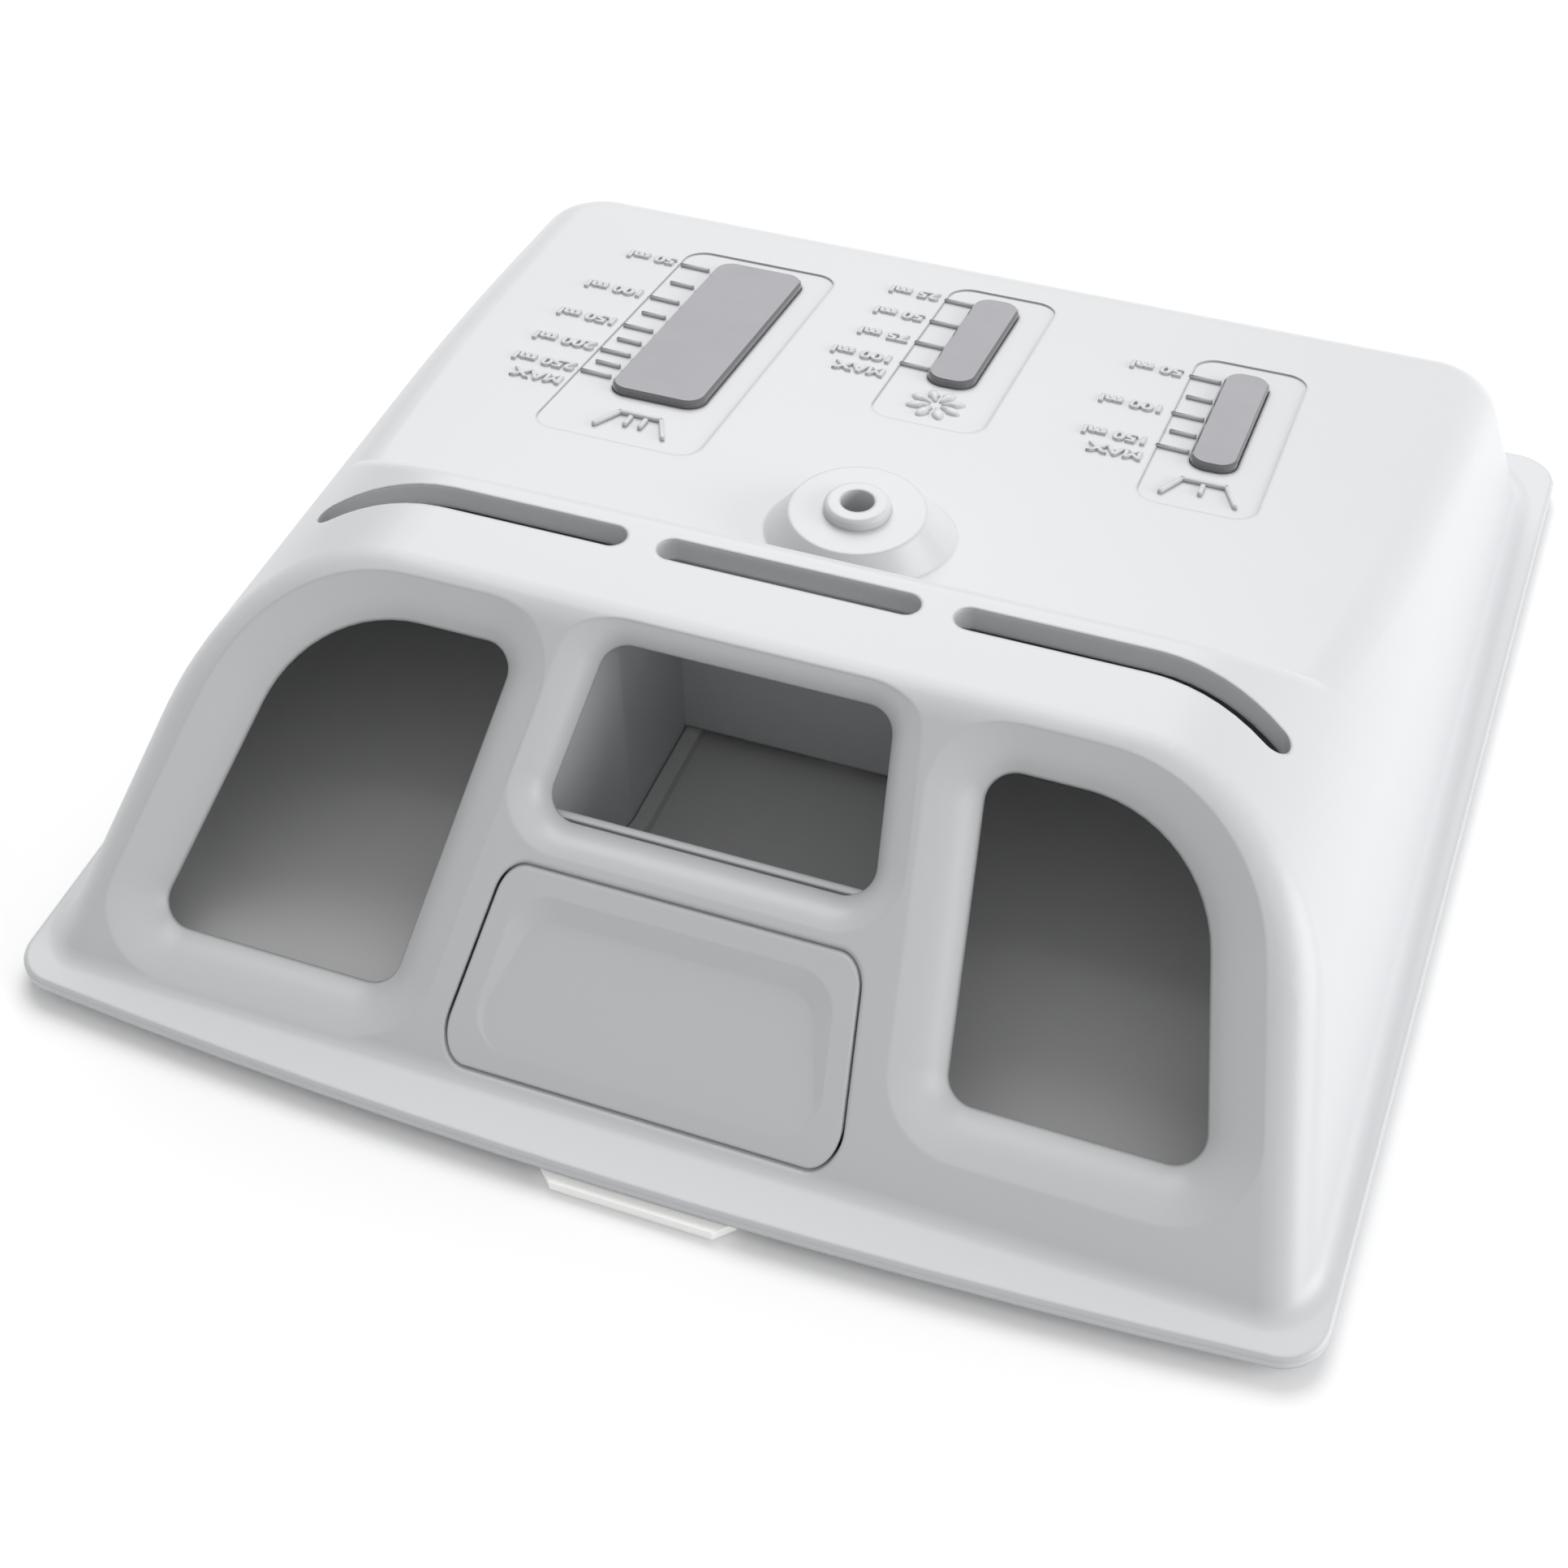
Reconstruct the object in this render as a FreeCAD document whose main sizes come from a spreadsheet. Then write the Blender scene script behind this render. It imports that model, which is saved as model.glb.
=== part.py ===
"""Lid-mounted detergent dispenser of a top-loading washer, modelled in millimetres.

The part lies on its back: +X runs across it, -Y is the end with the release button, +Z points
away from the lid. The origin is the middle of the rim that rests on the lid.
"""
import FreeCAD, Part
import math
import os

V = FreeCAD.Vector
UP = V(0, 0, 1)

# Driving sizes. Lengths along Y count from the front corners of the flange, heights from its
# underside, and positions on the two sloping faces run up or along the slope.
SIZES = {
    # flange and wall
    "flange_width_front": 300,
    "flange_width_rear": 315.6,
    "flange_length": 308.2,
    "flange_thickness": 3,
    "flange_corner": 11,
    "lip_bow": 5.9,
    "flange_edge": 0.8,
    "foot_round": 6,
    "wall": 2.2,
    # hollow body
    "foot_width_front": 292,
    "foot_width_rear": 299.4,
    "side_lean": 18,
    "front_foot": 4.8,
    "front_slope": 44,
    "rear_foot": 303,
    "rear_lean": 14,
    "rear_corner": 20,
    "hood_height": 76,
    "hood_radius": 54.5,
    "hood_front_round": 12,
    "hood_back": 118,
    "hood_back_round": 6,
    "crease": 127.5,
    "crease_height": 65.2,
    "window_slope": 8.3,
    "window_edge_round": 12,
    # filling mouths on the sloping front
    "mouth_slope": 55,
    "softener_mouth_slope": 75,
    "mouth_rim_slope": 10,
    "mouth_rim_over": 0.3,
    "mouth_wall": 3.2,
    "mouth_depth": 8,
    "mouth_corner": 6.5,
    "mouth_arch": 34,
    "mouth_top": 98,
    "main_mouth_bottom": 17.7,
    "main_mouth_inner_top": 53.4,
    "main_mouth_inner_bottom": 63.3,
    "main_mouth_outer_top": 104,
    "main_mouth_outer_bottom": 123.4,
    "prewash_mouth_bottom": 28.1,
    "prewash_mouth_inner_top": 55.2,
    "prewash_mouth_inner_bottom": 63.5,
    "prewash_mouth_outer_top": 102.6,
    "prewash_mouth_outer_bottom": 119,
    "softener_mouth_top": 104.5,
    "softener_mouth_bottom": 63.9,
    "softener_mouth_width_top": 65.6,
    "softener_mouth_width_bottom": 76.6,
    # outlet slots in the hood
    "slot_middle": 108.75,
    "slot_width": 7.2,
    "slot_center_length": 61.4,
    "slot_side_start": 38.3,
    "slot_side_straight": 80,
    "slot_side_end": 110,
    "slot_side_bend": 75,
    "slot_lip_wall": 1.6,
    "slot_lip_depth": 5,
    # siphon outlet of the softener compartment
    "siphon_x": 5.2,
    "siphon_y": 141,
    "siphon_pad_base": 23.3,
    "siphon_pad_top": 16,
    "siphon_pad_height": 71.5,
    "siphon_pad_rise": 9.5,
    "siphon_boss_radius": 7.75,
    "siphon_boss_rise": 2.5,
    "siphon_boss_edge": 0.8,
    "siphon_bore": 7.9,
    "standpipe_wall": 2,
    "standpipe_gap": 6,
    "cap_gap": 2.4,
    "cap_wall": 1.5,
    "cap_mouth_gap": 4,
    # walls inside
    "divider_spacing": 68.4,
    "divider_flare": 53,
    "divider_bend": 92,
    "divider_wall": 2,
    "dam_gap": 4,
    "bulkhead": 57,
    # windows and the label fields round them
    "window_proud": 1.6,
    "window_lip": 2.5,
    "window_lip_thickness": 1.2,
    "window_edge": 0.6,
    "window_fit": 0.15,
    "main_window_x": -63.3,
    "main_window_start": 54.7,
    "main_window_width": 25.2,
    "main_window_length": 80.2,
    "main_window_corner": 5,
    "softener_window_x": 2.75,
    "softener_window_start": 93.2,
    "softener_window_width": 12.7,
    "softener_window_length": 50.5,
    "softener_window_corner": 5,
    "prewash_window_x": 74.75,
    "prewash_window_start": 78.6,
    "prewash_window_width": 11.7,
    "prewash_window_length": 51,
    "prewash_window_corner": 4.7,
    "label_depth": 0.5,
    "label_corner": 6,
    "main_label_x": -65,
    "main_label_start": 31.8,
    "main_label_width": 43.9,
    "main_label_length": 109.1,
    "softener_label_x": 3,
    "softener_label_start": 71.2,
    "softener_label_width": 30,
    "softener_label_length": 78.8,
    "prewash_label_x": 74.75,
    "prewash_label_start": 58.1,
    "prewash_label_width": 29.5,
    "prewash_label_length": 78.8,
    # rear panel
    "panel_drop": 3.5,
    "panel_thickness": 2.5,
    "panel_margin": 1.5,
    "panel_rim": 3,
    "panel_corner": 9,
    "rib_height": 3,
    "rib_width": 1.5,
    "divider_foot": 4,
    "inlet_length": 10,
    "inlet_from_rear": 22,
    "inlet_corner": 3,
    "main_inlet_x": -80,
    "main_inlet_width": 44,
    "softener_inlet_x": 3,
    "softener_inlet_width": 26,
    "prewash_inlet_x": 80,
    "prewash_inlet_width": 30,
    # release button, latch tongue and springs
    "clearance": 0.3,
    "button_gap": 0.6,
    "button_bottom": 4.8,
    "button_top": 36.5,
    "button_width_bottom": 93,
    "button_width_top": 81.4,
    "button_corner": 6,
    "button_thickness": 2.6,
    "button_travel": 5,
    "finger_margin": 5,
    "finger_bevel": 6,
    "finger_depth": 1.7,
    "button_edge": 0.4,
    "runner_spacing": 60,
    "runner_width": 3,
    "runner_height": 9,
    "runner_front": 14,
    "guide_front": 32,
    "guide_rear": 48,
    "guide_height": 7,
    "guide_wall": 1.3,
    "barb_length": 2.7,
    "spring_spacing": 40,
    "spring_height": 20,
    "spring_radius": 3.1,
    "spring_wire": 0.8,
    "spring_turns": 6,
    "spring_seat": 32,
    "spring_peg": 2.1,
    "spring_peg_length": 7,
    "tongue_left": 15.3,
    "tongue_right": 29.6,
    "tongue_reach": 8.1,
    "tongue_thickness": 2.5,
    "tongue_chamfer": 4,
    "tongue_rear": 25,
    "tongue_upstand": 3,
    "tongue_upstand_height": 12,
}


class Sizes:
    """The sheet of driving sizes, read by name."""

    def __init__(self, document):
        self.sheet = document.addObject("Spreadsheet::Sheet", "Sizes")
        for row, (alias, value) in enumerate(SIZES.items(), start=1):
            self.sheet.set(f"A{row}", alias)
            self.sheet.set(f"B{row}", str(value))
            self.sheet.setAlias(f"B{row}", alias)
        document.recompute()

    def __getattr__(self, alias):
        return float(self.sheet.get(alias))


doc = FreeCAD.newDocument("dispenser")
size = Sizes(doc)

# Frame of the part
FRONT = -(size.flange_length - size.tongue_reach) / 2
SEAT = size.panel_drop
FRONT_CELL = "(Sizes.tongue_reach - Sizes.flange_length) / 2"
SEAT_CELL = "Sizes.panel_drop"
FAR = 4 * size.flange_length
OVERCUT = size.wall
TOUCH = 0.001
FUNNEL_SECTIONS = 5

FRONT_TILT = math.radians(size.front_slope)
FRONT_UP = V(0, math.cos(FRONT_TILT), math.sin(FRONT_TILT))
FRONT_OUT = V(0, -math.sin(FRONT_TILT), math.cos(FRONT_TILT))
FRONT_FOOT = V(0, FRONT + size.front_foot, SEAT)

WINDOW_TILT = math.radians(size.window_slope)
WINDOW_ALONG = V(0, math.cos(WINDOW_TILT), -math.sin(WINDOW_TILT))
WINDOW_OUT = V(0, math.sin(WINDOW_TILT), math.cos(WINDOW_TILT))
CREASE = V(0, FRONT + size.crease, SEAT + size.crease_height)


# Geometry helpers

def turned(direction_x, direction_y, direction_z, origin):
    """Placement whose own axes point along three directions."""
    return FreeCAD.Placement(origin, FreeCAD.Rotation(direction_x, direction_y, direction_z, "XYZ"))


ON_FRONT = turned(V(1, 0, 0), FRONT_UP, FRONT_OUT, FRONT_FOOT)
ON_WINDOWS = turned(V(1, 0, 0), WINDOW_ALONG, WINDOW_OUT, CREASE)


def offset_corners(corners, distance):
    """Corners of a counter-clockwise polygon after each side moves out by a distance."""
    moved = []
    for index, corner in enumerate(corners):
        before = (corner - corners[index - 1]).normalize()
        after = (corners[(index + 1) % len(corners)] - corner).normalize()
        out_before = V(before.y, -before.x, 0)
        out_after = V(after.y, -after.x, 0)
        reach = distance / (1 + out_before.dot(out_after))
        moved.append(corner + (out_before + out_after) * reach)
    return moved


def rounded_outline(corners, radii, level=0.0):
    """Closed wire through the corners of a polygon, each rounded by its own radius."""
    ends = []
    for index, corner in enumerate(corners):
        to_before = (corners[index - 1] - corner).normalize()
        to_after = (corners[(index + 1) % len(corners)] - corner).normalize()
        half_angle = to_before.getAngle(to_after) / 2
        setback = radii[index] / math.tan(half_angle)
        bisector = (to_before + to_after).normalize()
        to_arc = radii[index] / math.sin(half_angle) - radii[index]
        lift = V(0, 0, level)
        ends.append([corner + to_before * setback + lift,
                     corner + bisector * to_arc + lift,
                     corner + to_after * setback + lift])
    edges = []
    for index, (start, middle, end) in enumerate(ends):
        edges.append(Part.Arc(start, middle, end).toShape())
        edges.append(Part.makeLine(end, ends[(index + 1) % len(ends)][0]))
    return Part.Wire(edges)


def block(low, high):
    """Box between two opposite corners."""
    span = high - low
    return Part.makeBox(span.x, span.y, span.z, low)


def prism(outline, along):
    """Solid swept straight from a closed flat wire."""
    return Part.Face(outline).extrude(along)


def beyond(point, outward):
    """Large solid that fills everything on the outward side of a plane."""
    room = Part.makeBox(FAR, FAR, FAR, V(-FAR / 2, -FAR / 2, 0))
    room.Placement = FreeCAD.Placement(point, FreeCAD.Rotation(UP, outward))
    return room


def trimmed(solid, planes):
    """What is left of a solid behind a set of planes."""
    for point, outward in planes:
        solid = solid.cut(beyond(point, outward))
    return solid


def edges_on(solid, plane, above):
    """Edges of a solid that lie in a plane, higher than a level."""
    point, outward = plane
    found = []
    for edge in solid.Edges:
        middle = edge.valueAt((edge.FirstParameter + edge.LastParameter) / 2)
        touching = [middle] + [vertex.Point for vertex in edge.Vertexes]
        in_plane = all(abs((spot - point).dot(outward)) < TOUCH for spot in touching)
        if in_plane and middle.z > above:
            found.append(edge)
    return found


def fused(first, others):
    """One solid from overlapping solids."""
    return first.fuse(others).removeSplitter()


def edges_shared(solid, first, second):
    """Edges of a solid that lie on the skins of two other shapes."""
    found = []
    for edge in solid.Edges:
        middle = Part.Vertex(edge.valueAt((edge.FirstParameter + edge.LastParameter) / 2))
        if all(middle.distToShape(skin)[0] < TOUCH for skin in (first, second)):
            found.append(edge)
    return found


# Planes of the hollow body, moved in by an inset

def side_plane(hand, inset):
    spread = (size.foot_width_rear - size.foot_width_front) / 2 / size.flange_length
    lean = math.tan(math.radians(size.side_lean))
    outward = V(hand, -spread, lean).normalize()
    return V(hand * size.foot_width_front / 2, FRONT, SEAT) - outward * inset, outward


def front_plane(inset):
    return FRONT_FOOT - FRONT_OUT * inset, FRONT_OUT


def rear_plane(inset):
    outward = V(0, 1, math.tan(math.radians(size.rear_lean))).normalize()
    return V(0, FRONT + size.rear_foot, SEAT) - outward * inset, outward


def hood_plane(inset):
    return V(0, 0, SEAT + size.hood_height - inset), UP


def hood_back_plane(inset):
    fall = size.hood_height - size.crease_height
    run = size.crease - size.hood_back
    outward = V(0, fall, run).normalize()
    return CREASE - outward * inset, outward


def window_plane(inset):
    return CREASE - WINDOW_OUT * inset, WINDOW_OUT


def vault(inset, bottom):
    """Long vault with leaning sides and a rounded top, before its ends are cut."""
    start = block(V(-FAR / 4, -FAR / 4, bottom), V(FAR / 4, FAR / 4, FAR / 4))
    solid = trimmed(start, [side_plane(-1, inset), side_plane(1, inset), hood_plane(inset)])
    ridges = [edge for edge in edges_on(solid, hood_plane(inset), bottom)
              if abs(edge.tangentAt(edge.FirstParameter).y) > 0.9]
    return solid.makeFillet(size.hood_radius - inset, ridges)


def hollow_form(inset, bottom):
    """Outer form of the dispenser, or its cavity when inset by the wall."""
    whole = vault(inset, bottom)
    hood = trimmed(whole, [front_plane(inset), hood_back_plane(inset)])
    hood = hood.makeFillet(size.hood_front_round - inset, edges_on(hood, front_plane(inset), bottom + 0.1))
    top_edges = edges_on(hood, hood_plane(inset), bottom)
    rear_top = [edge for edge in edges_on(hood, hood_back_plane(inset), SEAT + size.crease_height)
                if any(edge.isSame(other) for other in top_edges)]
    hood = hood.makeFillet(size.hood_back_round - inset, rear_top)
    ahead = (V(0, FRONT + size.hood_back - size.hood_back_round, SEAT), V(0, -1, 0))
    rear = trimmed(whole, [window_plane(inset), rear_plane(inset), ahead])
    corner_edges = [edge for edge in edges_on(rear, rear_plane(inset), bottom + 0.1)
                    if abs(edge.valueAt(edge.FirstParameter).x - edge.valueAt(edge.LastParameter).x) < FAR / 20]
    rear = rear.makeFillet(size.rear_corner - inset, corner_edges)
    brow = [edge for edge in edges_on(rear, window_plane(inset), bottom)
            if edge.CenterOfMass.y > FRONT + size.hood_back - size.hood_back_round + 1]
    rear = rear.makeFillet(size.window_edge_round - inset, brow)
    return fused(hood, [rear])


# Filling mouths

def mouth_corners(hand, top, bottom, inner_top, inner_bottom, outer_top, outer_bottom):
    """Corners of a side mouth on the front slope, counter-clockwise seen from outside."""
    corners = [V(inner_top, top, 0), V(outer_top, top, 0), V(outer_bottom, bottom, 0), V(inner_bottom, bottom, 0)]
    corners = [V(hand * spot.x, spot.y, 0) for spot in corners]
    return corners if hand < 0 else [corners[index] for index in (1, 0, 3, 2)]


def mouths():
    """Outline corners, corner radii and wall slope of the three mouths."""
    corner = size.mouth_corner
    main = mouth_corners(-1, size.mouth_top, size.main_mouth_bottom, size.main_mouth_inner_top,
                         size.main_mouth_inner_bottom, size.main_mouth_outer_top, size.main_mouth_outer_bottom)
    prewash = mouth_corners(1, size.mouth_top, size.prewash_mouth_bottom, size.prewash_mouth_inner_top,
                            size.prewash_mouth_inner_bottom, size.prewash_mouth_outer_top,
                            size.prewash_mouth_outer_bottom)
    half_top = size.softener_mouth_width_top / 2
    half_bottom = size.softener_mouth_width_bottom / 2
    softener = [V(half_top, size.softener_mouth_top, 0), V(-half_top, size.softener_mouth_top, 0),
                V(-half_bottom, size.softener_mouth_bottom, 0), V(half_bottom, size.softener_mouth_bottom, 0)]
    return [(main, [corner, size.mouth_arch, corner, corner], size.mouth_slope),
            (prewash, [size.mouth_arch, corner, corner, corner], size.mouth_slope),
            (softener, [corner] * 4, size.softener_mouth_slope)]


def funnel(corners, radii, slope, margin):
    """Trumpet-shaped solid of a mouth, from the mouth's edge out to its soft rim just past the front face."""
    steep = math.radians(slope)
    shallow = math.radians(size.mouth_rim_slope)
    sweep_radius = (size.mouth_depth + size.mouth_rim_over) / (math.cos(shallow) - math.cos(steep))
    sections = []
    for step in range(FUNNEL_SECTIONS):
        tilt = steep + (shallow - steep) * step / (FUNNEL_SECTIONS - 1)
        flare = sweep_radius * (math.sin(steep) - math.sin(tilt)) + margin
        level = sweep_radius * (math.cos(tilt) - math.cos(steep)) - size.mouth_depth
        sections.append(rounded_outline(offset_corners(corners, flare), [radius + flare for radius in radii], level))
    solid = Part.makeLoft(sections, True, False)
    solid.Placement = ON_FRONT
    return solid


# Outlet slots

def side_slot_outline(half_width):
    """Plan of the right-hand slot: straight, then bending towards the front round the hood."""
    middle = FRONT + size.slot_middle
    start = size.slot_side_start + size.slot_width / 2
    bend = V(size.slot_side_straight, middle - size.slot_side_bend, 0)
    sweep = math.asin((size.slot_side_end - size.slot_side_straight) / size.slot_side_bend)

    def on_bend(radius, angle):
        return bend + V(math.sin(angle), math.cos(angle), 0) * radius

    outer = size.slot_side_bend + half_width
    inner = size.slot_side_bend - half_width
    tip = on_bend(size.slot_side_bend, sweep) + V(math.cos(sweep), -math.sin(sweep), 0) * half_width
    edges = [
        Part.makeLine(V(start, middle + half_width, 0), on_bend(outer, 0)),
        Part.Arc(on_bend(outer, 0), on_bend(outer, sweep / 2), on_bend(outer, sweep)).toShape(),
        Part.Arc(on_bend(outer, sweep), tip, on_bend(inner, sweep)).toShape(),
        Part.Arc(on_bend(inner, sweep), on_bend(inner, sweep / 2), on_bend(inner, 0)).toShape(),
        Part.makeLine(on_bend(inner, 0), V(start, middle - half_width, 0)),
        Part.Arc(V(start, middle - half_width, 0), V(start - half_width, middle, 0),
                 V(start, middle + half_width, 0)).toShape(),
    ]
    return Part.Wire(edges)


def center_slot_outline(half_width):
    """Plan of the middle slot, a straight run with round ends."""
    half_run = (size.slot_center_length - size.slot_width) / 2
    middle = FRONT + size.slot_middle
    edges = []
    for hand in (1, -1):
        edges.append(Part.Arc(V(hand * half_run, middle - hand * half_width, 0),
                              V(hand * (half_run + half_width), middle, 0),
                              V(hand * half_run, middle + hand * half_width, 0)).toShape())
        edges.append(Part.makeLine(V(hand * half_run, middle + hand * half_width, 0),
                                   V(-hand * half_run, middle + hand * half_width, 0)))
    return Part.Wire(edges)


def slots(margin, low, high):
    """The three slots as upright solids between two heights, widened by a margin."""
    half_width = size.slot_width / 2 + margin
    rise = V(0, 0, high - low)
    right = prism(side_slot_outline(half_width), rise)
    left = right.mirror(V(0, 0, 0), V(1, 0, 0))
    solids = [prism(center_slot_outline(half_width), rise), right, left]
    for solid in solids:
        solid.translate(V(0, 0, low))
    return solids


# Walls between the compartments

def divider_line(hand, offset):
    """Plan points of a dividing wall's face, offset away from the middle."""
    straight = size.divider_spacing / 2 + offset
    flared = size.divider_flare + offset
    return [V(hand * flared, FRONT, 0), V(hand * straight, FRONT + size.divider_bend, 0),
            V(hand * straight, FRONT + size.flange_length, 0)]


def divider(hand, near, far, low, high):
    """Upright wall between two offsets of the dividing line."""
    points = divider_line(hand, near) + divider_line(hand, far)[::-1]
    solid = prism(Part.makePolygon(points + points[:1]), V(0, 0, high - low))
    solid.translate(V(0, 0, low))
    return solid


def between_dividers(low, high, start, end):
    """Cross wall that spans the softener compartment."""
    left = divider_line(-1, size.divider_wall / 2)
    right = divider_line(1, size.divider_wall / 2)
    points = left + right[::-1]
    solid = prism(Part.makePolygon(points + points[:1]), V(0, 0, high - low))
    solid.translate(V(0, 0, low))
    return solid.common(block(V(-FAR, FRONT + start, low), V(FAR, FRONT + end, high)))


# Front cover

def flange_outline():
    """Plan of the flange: a bowed front lip, sides that spread to the rear, round corners."""
    half_front = size.flange_width_front / 2
    half_rear = size.flange_width_rear / 2
    rear = FRONT + size.flange_length
    corners = [V(-half_front, FRONT, 0), V(half_front, FRONT, 0), V(half_rear, rear, 0), V(-half_rear, rear, 0)]
    return rounded_outline(corners, [size.flange_corner] * 4, SEAT)


def flange():
    """Flat rim round the foot of the cover, with the bowed lip in front and an eased upper edge."""
    plate = prism(flange_outline(), V(0, 0, size.flange_thickness))
    half_lip = size.flange_width_front / 2 - size.flange_corner
    left = V(-half_lip, FRONT, SEAT)
    right = V(half_lip, FRONT, SEAT)
    bow = Part.Arc(left, V(0, FRONT - size.lip_bow, SEAT), right).toShape()
    lip = prism(Part.Wire([bow, Part.makeLine(right, left)]), V(0, 0, size.flange_thickness))
    rim = fused(plate, [lip])
    upper_face = (V(0, 0, SEAT + size.flange_thickness), UP)
    return rim.makeChamfer(size.flange_edge, edges_on(rim, upper_face, SEAT))


def siphon_point(height):
    return V(size.siphon_x, FRONT + size.siphon_y, SEAT + height)


def siphon_pad(inset):
    """Flat-topped cone that carries the siphon outlet, reaching down into the body."""
    flare = (size.siphon_pad_base - size.siphon_pad_top) / size.siphon_pad_rise
    rise = 1.5 * size.siphon_pad_rise - inset
    top = size.siphon_pad_top - inset * (math.hypot(1, flare) - flare)
    return Part.makeCone(top + flare * rise, top, rise,
                         siphon_point(size.siphon_pad_height - inset - rise))


def field_on_windows(name, depth, rise, margin, corner):
    """Rounded block on the window face, at the place of a window or a label field."""
    half = getattr(size, name + "_width") / 2 + margin
    middle = getattr(size, name + "_x")
    start = getattr(size, name + "_start") - margin
    end = start + getattr(size, name + "_length") + 2 * margin
    corners = [V(middle - half, start, 0), V(middle + half, start, 0), V(middle + half, end, 0), V(middle - half, end, 0)]
    solid = prism(rounded_outline(corners, [corner] * 4, -depth), V(0, 0, depth + rise))
    solid.Placement = ON_WINDOWS
    return solid


def button_block(margin, start, end):
    """Column along Y with the outline of the button, widened by a margin."""
    half_bottom = size.button_width_bottom / 2
    half_top = size.button_width_top / 2
    corners = [V(-half_bottom, size.button_bottom, 0), V(half_bottom, size.button_bottom, 0),
               V(half_top, size.button_top, 0), V(-half_top, size.button_top, 0)]
    outline = rounded_outline(offset_corners(corners, margin), [size.button_corner + margin] * 4)
    solid = prism(outline, V(0, 0, end - start))
    solid.Placement = turned(V(1, 0, 0), UP, V(0, -1, 0), V(0, FRONT + end, SEAT))
    return solid


def spring_points(distance):
    """Centres of the two springs at a distance behind the flange's front corners."""
    half = size.spring_spacing / 2
    return [V(hand * half, FRONT + distance, SEAT + size.spring_height) for hand in (-1, 1)]


WINDOWS = ["main_window", "softener_window", "prewash_window"]
LABELS = ["main_label", "softener_label", "prewash_label"]


def front_cover():
    """The moulded cover: hollow body, flange, mouths, slots, siphon outlet and inner walls."""
    outside = hollow_form(0, SEAT)
    skin = hollow_form(size.wall / 2, SEAT)
    cavity = hollow_form(size.wall, SEAT - OVERCUT)
    boss = Part.makeCylinder(size.siphon_boss_radius, size.siphon_boss_rise + size.wall / 2,
                             siphon_point(size.siphon_pad_height - size.wall / 2))
    boss_face = (siphon_point(size.siphon_pad_height + size.siphon_boss_rise), UP)
    boss = boss.makeChamfer(size.siphon_boss_edge, edges_on(boss, boss_face, SEAT))
    body = fused(outside, [flange()])
    foot = edges_shared(body, Part.makeCompound(outside.Shells),
                        Part.makePlane(FAR, FAR, V(-FAR / 2, -FAR / 2, SEAT + size.flange_thickness)))
    body = body.makeFillet(size.foot_round, foot)
    shell = fused(body, [siphon_pad(0), boss])
    shell = shell.cut(cavity).cut(siphon_pad(size.wall))
    top = SEAT + size.hood_height
    pipe_radius = size.siphon_bore / 2 + size.standpipe_wall
    pipe_foot = size.cap_wall + size.standpipe_gap
    walls = [
        divider(-1, 0, size.divider_wall, SEAT, top),
        divider(1, 0, size.divider_wall, SEAT, top),
        between_dividers(SEAT + size.dam_gap, top, size.crease - size.divider_wall, size.crease),
        between_dividers(SEAT, SEAT + size.button_top + size.wall, size.bulkhead,
                         size.bulkhead + size.divider_wall),
    ]
    walls = [solid.common(skin) for solid in walls]
    under_skin = skin.cut(translated(skin, V(0, 0, -size.slot_lip_depth)))
    slot_foot = top - size.hood_radius / 2 - size.slot_lip_depth
    walls += [solid.common(under_skin) for solid in slots(size.slot_lip_wall, slot_foot, top)]
    walls += [funnel(*mouth, size.mouth_wall).common(outside) for mouth in mouths()]
    walls.append(Part.makeCylinder(pipe_radius, size.siphon_pad_height - size.wall / 2 - pipe_foot,
                                   siphon_point(pipe_foot)))
    walls += [Part.makeCylinder(size.spring_peg, size.spring_peg_length + size.divider_wall / 2, point, V(0, 1, 0))
              for point in spring_points(size.bulkhead - size.spring_peg_length)]
    cover = fused(shell, walls)
    cuts = [funnel(*mouth, 0) for mouth in mouths()]
    cuts += slots(0, SEAT + size.crease_height - size.hood_radius / 2, top + OVERCUT)
    cuts += [field_on_windows(name, 2 * size.wall, OVERCUT, size.window_fit, getattr(size, name + "_corner"))
             for name in WINDOWS]
    cuts += [field_on_windows(name, size.label_depth, OVERCUT, 0, size.label_corner) for name in LABELS]
    cuts.append(button_block(size.button_gap, -size.front_foot, size.bulkhead - size.button_travel))
    cuts.append(Part.makeCylinder(size.siphon_bore / 2, FAR, siphon_point(0)))
    return cover.cut(cuts).removeSplitter()


def translated(shape, shift):
    """Copy of a shape, moved."""
    copy = shape.copy()
    copy.translate(shift)
    return copy


# Windows

def window(name):
    """Smoked window: a rounded plug through the cover with a lip behind it."""
    corner = getattr(size, name + "_corner")
    plug = field_on_windows(name, size.wall, size.window_proud, 0, corner)
    face = (CREASE + WINDOW_OUT * size.window_proud, WINDOW_OUT)
    plug = plug.makeChamfer(size.window_edge, edges_on(plug, face, SEAT))
    lip = field_on_windows(name, size.wall + size.window_lip_thickness, -size.wall, size.window_lip,
                           corner + size.window_lip)
    return fused(plug, [lip])


# Rear panel

def foot_outline(front, side, rear, corners, level):
    """Plan outline from the body's foot, moved in by separate margins."""
    half_front = size.foot_width_front / 2 - side
    half_rear = size.foot_width_rear / 2 - side
    start = FRONT + size.front_foot + front
    end = FRONT + size.rear_foot - rear
    points = [V(-half_front, start, 0), V(half_front, start, 0), V(half_rear, end, 0), V(-half_rear, end, 0)]
    return rounded_outline(points, corners, level)


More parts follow.
